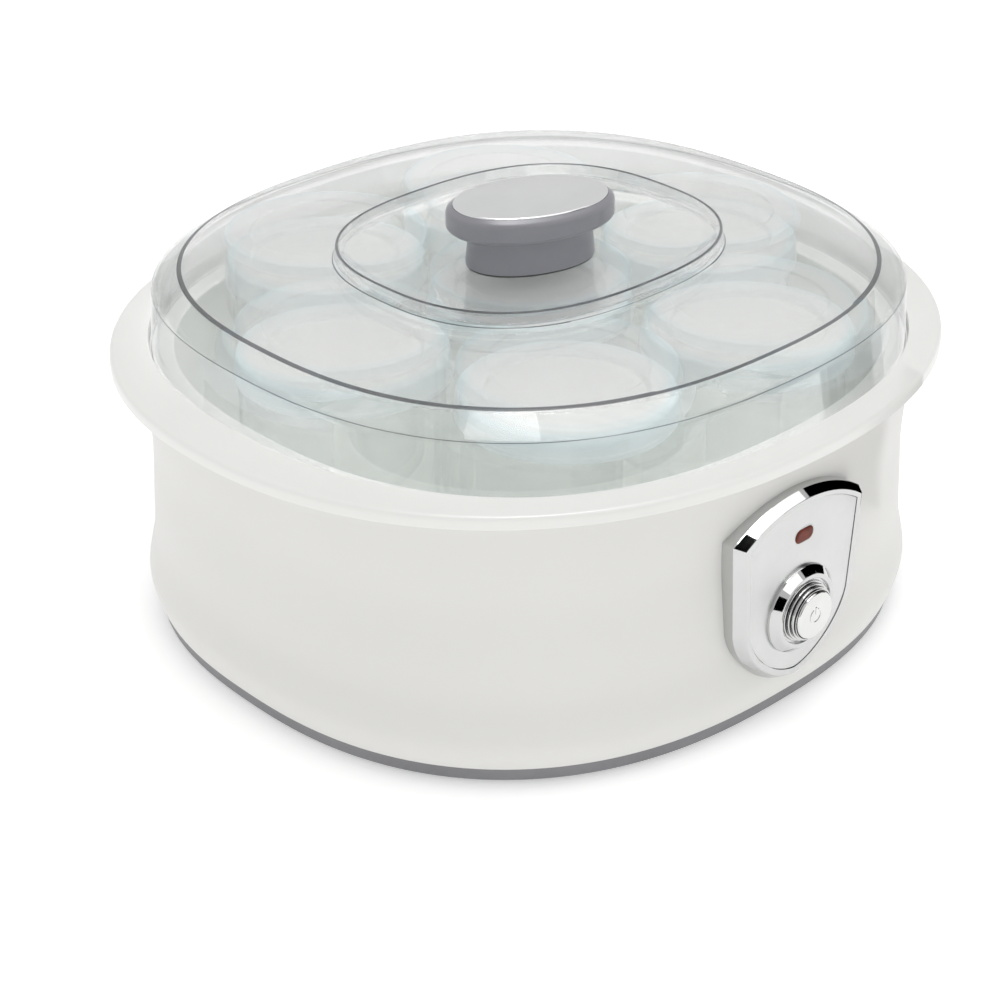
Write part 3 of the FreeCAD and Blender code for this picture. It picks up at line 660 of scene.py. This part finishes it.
def pill(grow, y):
    """Oblong outline with round ends, grow mm outside the lens, in the plane y."""
    r = PILL_HIGH / 2 + grow
    half = (PILL_LONG - PILL_HIGH) / 2
    if r <= 0.1:
        r = 0.1
    points = []
    for side in (1, -1):
        for i in range(25):
            angle = -math.pi / 2 + math.pi * i / 24
            points.append((side * (half + r * math.cos(angle)), y,
                           PILL_Z + side * r * math.sin(angle)))
    return points


def lens():
    corners = [
        (1.0, LEDGE_Y + 0.8, 0.0), (1.0, LEDGE_Y, 0.0), (0.0, LEDGE_Y, 0.0),
        (0.0, PANEL_Y + 0.1, 0.3), (-0.7, PANEL_Y - 0.2, 0.4), (-2.3, PANEL_Y - 0.2, 0.0),
    ]
    return skin("indicator_window", corners, pill, steps=4)


def lens_seat():
    """Fine bright edge of the plate round the lens."""
    corners = [
        (0.08, FACE_Y + 0.3, 0.0), (0.08, FACE_Y - 0.06, 0.03), (0.4, FACE_Y - 0.06, 0.05),
        (0.5, FACE_Y + 0.02, 0.0), (0.5, FACE_Y + 0.3, 0.0),
    ]
    return skin("lens_seat", corners, pill, closed=True, steps=3)


def dial_ring():
    """Chrome ring: a bevel, a flat lip, a recess and a ribbed collar."""
    inner = BUTTON_R + 0.25
    corners = [
        (inner, -3.0, 0.0), (DIAL_R, -3.0, 0.0), (DIAL_R, 0.95, 0.25), (12.6, 3.3, 0.25),
        (11.2, 3.3, 0.2), (11.1, 2.2, 0.15),
    ]
    for i in range(RIBS):
        r = RIB_R - RIB_STEP * i
        step = RIB_LOW + RIB_PITCH * i
        corners += [(r, step, 0.1), (r, step + 0.75, 0.3), (r - RIB_DEEP, step + 0.8, 0.1)]
    corners += [(RIB_END, 5.9, 0.1), (RIB_END, 6.05, 0.1), (inner, 6.05, 0.0)]
    return skin("dial_collar", corners, dial, closed=True, steps=4, sharp=60.0)


def in_neck(x, y, z, normal):
    """True in the narrow necks between the collar's ribs, where the painted shade goes."""
    r = math.hypot(x, z - BUTTON_Z)
    out = FACE_Y - y
    for i in range(RIBS):
        neck_r = RIB_R - RIB_DEEP - RIB_STEP * i
        if abs(r - neck_r) < 0.12 and 0.8 < out - RIB_LOW - RIB_PITCH * i < RIB_PITCH:
            return True
    return False


def in_well(x, y, z, normal):
    """True on the tub's floor and walls below the lid's ledge, which get the brighter painted-light
    white.
    """
    return off_outline(WELL_MOUTH, x, y) < 0.0 and TUB_FLOOR - 0.5 < z < LEDGE_Z + 0.2


def button():
    length = FACE_Y - BUTTON_END
    stem = FACE_Y - STEM_END
    back = FACE_Y - PANEL_Y - 1.0
    corners = [
        (0.0, stem, 0.0), (2.4, stem, 0.2), (2.4, back, 0.0), (BUTTON_R, back, 0.2),
        (BUTTON_R, length, 0.8), (0.0, length, 0.0),
    ]
    return skin("push_button", corners, dial, steps=8)


def button_mark():
    """Raised power sign: an open ring and a short bar."""
    turns = [math.radians(115.0 + 310.0 * i / 64) for i in range(65)]
    ring = [(2.6 * math.cos(t), 2.6 * math.sin(t)) for t in turns]
    ring += [(2.15 * math.cos(t), 2.15 * math.sin(t)) for t in reversed(turns)]
    bar = [(-0.24, 0.6), (0.24, 0.6), (0.24, 3.0), (-0.24, 3.0)]
    verts = []
    faces = []
    for loop in (ring, bar):
        start = len(verts)
        count = len(loop)
        for y in (BUTTON_END + 0.1, BUTTON_END - 0.18):
            verts += [(x, y, BUTTON_Z + z) for x, z in loop]
        for i in range(count):
            j = (i + 1) % count
            faces.append([start + i, start + j, start + count + j, start + count + i])
        faces.append(list(range(start, start + count)))
        faces.append(list(range(start + count, start + 2 * count)))
    return mesh_object("button_mark", verts, faces)


def build_housing():
    place(outer_body(), "housing", "white_plastic", looks["white_shell"], "outer_body")
    tub = place(inner_tub(), "housing", "white_plastic", looks["white_rim"], "inner_tub")
    tub.visible_glossy = False
    # the well's brighter white is painted light
    recolour(tub, looks["well"], in_well)
    place(base_shell(), "housing", "grey_plastic", looks["grey_base"], "base_plate")
    place(bezel(), "housing", "chrome_trim", looks["chrome"], "panel_bezel")
    place(lens(), "housing", "red_lens", looks["lens"], "indicator_lens")
    place(lens_seat(), "housing", "silver_plate", looks["satin"])
    ring = place(dial_ring(), "housing", "chrome_trim", looks["chrome"], "dial_ring")
    # the collar's necks get near-black chrome: painted shade
    recolour(ring, looks["neck_shade"], in_neck)
    place(button(), "button", "chrome_trim", looks["button"], "power_button")
    place(button_mark(), "button", "chrome_trim", looks["button"])


# ---------------------------------------------------------------- lid
def lid_shell():
    t = LID_WALL
    low = LEDGE_Z + 0.3
    corners = [
        (1.7, 1.7, 2.0, WELL_Z - t, 0.0),
        (KNOB_A + 8.3, KNOB_B + 10.3, 2.3, WELL_Z - t, 9.0),
        (CREST[0] - 6.6, CREST[1] - 6.6, CREST[2], WELL_Z + 2.6 - t, 7.0),
        (CREST[0] - 1.2, CREST[1] - 1.2, CREST[2], CREST_Z - t - 2.4, 0.6),
        (CREST[0] + 0.2, CREST[1] + 0.2, CREST[2], CREST_FOOT_Z - t, 0.6),
        (109.8, 103.9, 2.42, TOP_EDGE_Z - t, 1.2),
        (117.4, 111.2, 2.43, SHOULDER_Z - 1.3, 2.0),
        (SKIRT[0] - t, SKIRT[1] - t, SKIRT[2], low, 0.3),
        (*SKIRT, low, 0.3),
        (*SHOULDER, SHOULDER_Z, 0.8),
        (*TOP_EDGE, TOP_EDGE_Z, 1.2),
        (*CREST_FOOT, CREST_FOOT_Z, 0.8),
        (*CREST, CREST_Z, 0.9),
        (CREST[0] - 8.0, CREST[1] - 8.0, CREST[2], WELL_Z + 2.6, 7.0),
        (KNOB_A + 8.0, KNOB_B + 10.0, 2.3, WELL_Z, 9.0),
        (1.7, 1.7, 2.0, WELL_Z, 0.0),
    ]
    return skin("lid_shell", corners, oval, closed=True)


# Lid creases that get the painted crease shade: outline, reach either side of it, and the heights
# between
CREASES = (
    (TOP_EDGE, 0.7, TOP_EDGE_Z - 0.6, TOP_EDGE_Z + 0.1),
    (CREST, 1.5, CREST_Z - 0.9, CREST_Z + 0.2),
    (CREST_FOOT, 0.3, CREST_FOOT_Z - 0.2, CREST_FOOT_Z + 0.4),
    (SHOULDER, 0.2, SHOULDER_Z - 0.25, SHOULDER_Z + 0.1),
    (SKIRT, 0.5, LEDGE_Z, LEDGE_Z + 0.8),
)


# True on the lid's creases, where the near-black painted shade goes
def in_crease(x, y, z, normal):
    for outline, reach, low, high in CREASES:
        if abs(off_outline(outline, x, y)) * outline[0] < reach and low < z < high:
            return True
    return False


def in_band(x, y, z, normal):
    """True on the sloping band between the lid's top edge and its shoulder, creases apart. These
    faces get a denser, lit copy of the lid plastic: a painted highlight, so the overhead card's
    reflection shows there as a bright strip.
    """
    return (SHOULDER_Z < z < TOP_EDGE_Z and normal.z > 0.3
            and off_outline(TOP_EDGE, x, y) > 0.0 and not in_crease(x, y, z, normal))


def in_knob_foot(x, y, z, normal):
    return z < WELL_Z + 0.5


def knob_oval(a, b, z):
    c = math.cos(KNOB_TURN)
    s = math.sin(KNOB_TURN)
    return [(x * c - y * s, x * s + y * c, z) for x, y, z in oval(a, b, KNOB_N, z, 128)]


def knob():
    step = WELL_Z + 0.05
    corners = [
        (22.0, 14.4, step, 0.0),
        (22.4, 14.8, step + 0.9, 0.2),
        (21.6, 14.0, step + 9.0, 2.0),
        (22.6, 15.0, GRIP_LOW, 0.6),
        (KNOB_A - 1.5, KNOB_B - 1.5, GRIP_LOW, 0.5),
        (KNOB_A, KNOB_B, GRIP_LOW + 1.2, 0.8),
        (KNOB_A, KNOB_B, GRIP_TOP - 2.0, 1.2),
        (CAP_A + 0.1, CAP_B + 0.1, GRIP_TOP - 0.4, 0.2),
        (CAP_A + 0.1, CAP_B + 0.1, GRIP_TOP - 2.2, 0.0),
    ]
    return skin("knob_grip", corners, knob_oval)


def knob_cap():
    corners = [
        (CAP_A, CAP_B, GRIP_TOP - 2.2, 0.0),
        (CAP_A, CAP_B, GRIP_TOP, 0.5),
        (CAP_A - 8.0, CAP_B - 8.0, GRIP_TOP + 0.35, 4.0),
        (0.05, 0.05, GRIP_TOP + 0.4, 0.0),
    ]
    return skin("knob_cap", corners, knob_oval)


def build_lid():
    shell = place(lid_shell(), "lid", "clear_plastic", looks["lid"], "lid_cover")
    # crease faces get near-black clear plastic: painted shade
    recolour(shell, looks["lid_crease_shade"], in_crease)
    # the shoulder band's denser copy of the lid plastic is a painted highlight
    recolour(shell, looks["lid_highlight_band"], in_band)
    shell.visible_shadow = False
    grip = place(knob(), "lid", "knob_grey", looks["knob"], "lid_handle")
    recolour(grip, looks["dark"], in_knob_foot)
    place(knob_cap(), "lid", "silver_plate", looks["silver"], "handle_cap")


# ---------------------------------------------------------------- jars
def moved(obj, x, y):
    obj.location = (x, y, 0.0)
    return obj


def jar_spot(i):
    lo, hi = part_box(f"jar_{i}")
    return (lo.x + hi.x) / 2, (lo.y + hi.y) / 2


def jar_mesh(name):
    r = 32.6
    t = 2.6
    low = 27.8
    top = low + 79.0
    corners = [
        (0.0, low + 1.2, 0.0), (r - 9.0, low + 1.2, 1.5), (r - 7.0, low, 0.8),
        (r - 4.0, low, 0.6), (r, low + 4.5, 2.4), (r, top - 16.0, 2.0),
        (r - 1.8, top - 12.6, 1.0), (r + 0.2, top - 10.6, 0.8), (r - 1.4, top - 8.6, 0.7),
        (r - 1.4, top, 1.0), (r - 1.4 - t, top, 1.0), (r - 1.4 - t, top - 12.0, 2.0),
        (r - t, top - 18.0, 2.0), (r - t, low + 5.5, 4.5), (0.0, low + 5.0, 0.0),
    ]
    return skin(name, corners, circle)


def jar_lid_mesh(name):
    r = 34.6
    t = 1.3
    top = 109.8
    low = top - 8.2
    mouth = 107.1
    corners = [
        (0.0, top - 1.6, 0.0), (24.6, top - 1.6, 0.4), (25.4, top, 0.6), (r - 0.9, top, 1.2),
        (r - 0.2, low + 2.0, 0.2), (r, low + 1.6, 0.2), (r, low, 0.3), (r - t, low, 0.3),
        (r - 0.9 - t, mouth, 0.4), (25.9, mouth, 0.2), (25.9, mouth - 2.4, 0.3),
        (24.7, mouth - 2.4, 0.3), (24.3, mouth, 0.4), (0.0, mouth, 0.0),
    ]
    return skin(name, corners, circle)


def build_jars():
    for i in range(1, 8):
        x, y = jar_spot(i)
        jar = moved(jar_mesh(f"glass_jar_{i}"), x, y)
        cover = moved(jar_lid_mesh(f"jar_cover_{i}"), x, y)
        place(jar, f"jar_{i}", "jar_glass", looks["glass"], f"jar_{i}")
        jar.visible_shadow = False
        place(cover, f"jar_lid_{i}", "jar_lid_plastic", looks["jar_lid"], f"jar_lid_{i}")


# ---------------------------------------------------------------- CAD pieces kept as they are
KEPT = {
    "rubber": ("rubber_feet", "cord_gland"),
    "steel": ("base_screws", "heater_screws", "heating_element", "heat_shield", "thermostat",
              "thermal_fuse", "button_spring", "panel_screws", "handle_screw"),
    "aluminium": ("heater_plate", "element_clips"),
    "dark": ("terminal_block", "power_switch"),
    "brass": ("terminal_screws",),
    "sleeve": ("live_wire", "lamp_wire"),
    "neon": ("indicator_lamp",),
    "satin": ("panel_face",),
}


def dress_kept_nodes():
    for look, names in KEPT.items():
        for name in names:
            mesh = nodes[name].data
            mesh.materials.clear()
            mesh.materials.append(looks[look])
            mesh.polygons.foreach_set("use_smooth", [True] * len(mesh.polygons))
            mesh.set_sharp_from_angle(angle=math.radians(30.0))


# ---------------------------------------------------------------- stage, light and camera
AZIMUTH = math.radians(-43.12)
ELEVATION = math.radians(29.3)
DISTANCE = 0.8026
LENS = 82.86


def floor():
    look = Look("studio_floor", **{"Roughness": 0.9, "Specular IOR Level": 0.1,
                                   "Emission Color": (1.0, 1.0, 1.0), "Emission Strength": 0.38})
    look.tint((0.88, 0.88, 0.88), (0.9, 0.9, 0.9), 3.0)
    mesh = bpy.data.meshes.new("studio_floor")
    mesh.from_pydata([(-6, -6, 0), (6, -6, 0), (6, 6, 0), (-6, 6, 0)], [], [(0, 1, 2, 3)])
    mesh.materials.append(look.material)
    obj = bpy.data.objects.new("studio_floor", mesh)
    bpy.context.scene.collection.objects.link(obj)


def softbox(name, spot, aim, size, power):
    light = bpy.data.lights.new(name, "AREA")
    light.shape = "RECTANGLE"
    light.size, light.size_y = size
    light.energy = power
    obj = bpy.data.objects.new(name, light)
    obj.location = spot
    obj.rotation_mode = "QUATERNION"
    obj.rotation_quaternion = (Vector(aim) - Vector(spot)).to_track_quat("-Z", "Y")
    bpy.context.scene.collection.objects.link(obj)


def card(name, spot, facing, size, strength):
    """Flat card that only polished surfaces see: black, or bright with a strength."""
    half_w, half_h = size[0] / 2, size[1] / 2
    mesh = bpy.data.meshes.new(name)
    mesh.from_pydata([(-half_w, -half_h, 0), (half_w, -half_h, 0), (half_w, half_h, 0),
                      (-half_w, half_h, 0)], [], [(0, 1, 2, 3)])
    look = Look(name, **{"Base Color": (0.0, 0.0, 0.0), "Specular IOR Level": 0.0,
                         "Emission Color": (1.0, 1.0, 1.0), "Emission Strength": strength})
    mesh.materials.append(look.material)
    obj = bpy.data.objects.new(name, mesh)
    obj.location = spot
    obj.rotation_mode = "QUATERNION"
    obj.rotation_quaternion = Vector(facing).to_track_quat("Z", "Y")
    obj.visible_camera = False
    obj.visible_diffuse = False
    obj.visible_transmission = False
    obj.visible_shadow = False
    obj.visible_volume_scatter = False
    bpy.context.scene.collection.objects.link(obj)


def studio():
    world = bpy.data.worlds.new("studio")
    world.use_nodes = True
    back = world.node_tree.nodes["Background"]
    back.inputs["Color"].default_value = (1.0, 1.0, 1.0, 1.0)
    back.inputs["Strength"].default_value = 0.71
    bpy.context.scene.world = world
    softbox("top_box", (0.08, -0.04, 1.6), (0.08, -0.04, 0.0), (0.84, 1.0), 6.0)
    card("right_black", (0.06, -0.1275, 0.092), (1.0, 0.0, 0.0), (0.035, 0.09), 0.0)
    card("dial_black", (0.098, -0.188, 0.112), (0.66, -0.52, 0.5), (0.064, 0.062), 0.0)
    card("upper_black", (-0.045, -0.161, 0.152), (0.0, 0.0, -1.0), (0.03, 0.041), 0.0)
    card("front_black", (-0.09, -0.241, 0.068), (0.0, 1.0, 0.0), (0.08, 0.058), 0.0)
    card("upper_white", (0.28, -0.29, 0.76), (0.0, 0.0, -1.0), (0.68, 0.32), 1.8)
    card("front_white", (0.1, -0.8, 0.55), (0.0, 1.0, 0.0), (0.6, 0.4), 1.8)
    card("overhead_white", (-0.03, -0.27, 1.2), (0.0, 0.0, -1.0), (0.6, 0.56), 9.0)


def camera():
    data = bpy.data.cameras.new("camera")
    data.lens = LENS
    data.clip_start = 0.01
    data.clip_end = 50.0
    obj = bpy.data.objects.new("camera", data)
    right = Vector((math.cos(AZIMUTH), math.sin(AZIMUTH), 0.0))
    back = Vector((math.sin(AZIMUTH) * math.cos(ELEVATION),
                   -math.cos(AZIMUTH) * math.cos(ELEVATION), math.sin(ELEVATION)))
    target = Vector((0.0, 0.0, 28.72 * MM)) - right * 9.803 * MM
    obj.location = target + back * DISTANCE
    obj.rotation_mode = "QUATERNION"
    obj.rotation_quaternion = (-back).to_track_quat("-Z", "Y")
    bpy.context.scene.collection.objects.link(obj)
    bpy.context.scene.camera = obj


def render_settings():
    scene = bpy.context.scene
    scene.view_settings.view_transform = "Standard"
    scene.cycles.max_bounces = 24
    scene.cycles.transmission_bounces = 20
    scene.cycles.diffuse_bounces = 10
    scene.cycles.glossy_bounces = 10
    scene.cycles.transparent_max_bounces = 40


build_housing()
build_lid()
build_jars()
dress_kept_nodes()
floor()
studio()
camera()
render_settings()
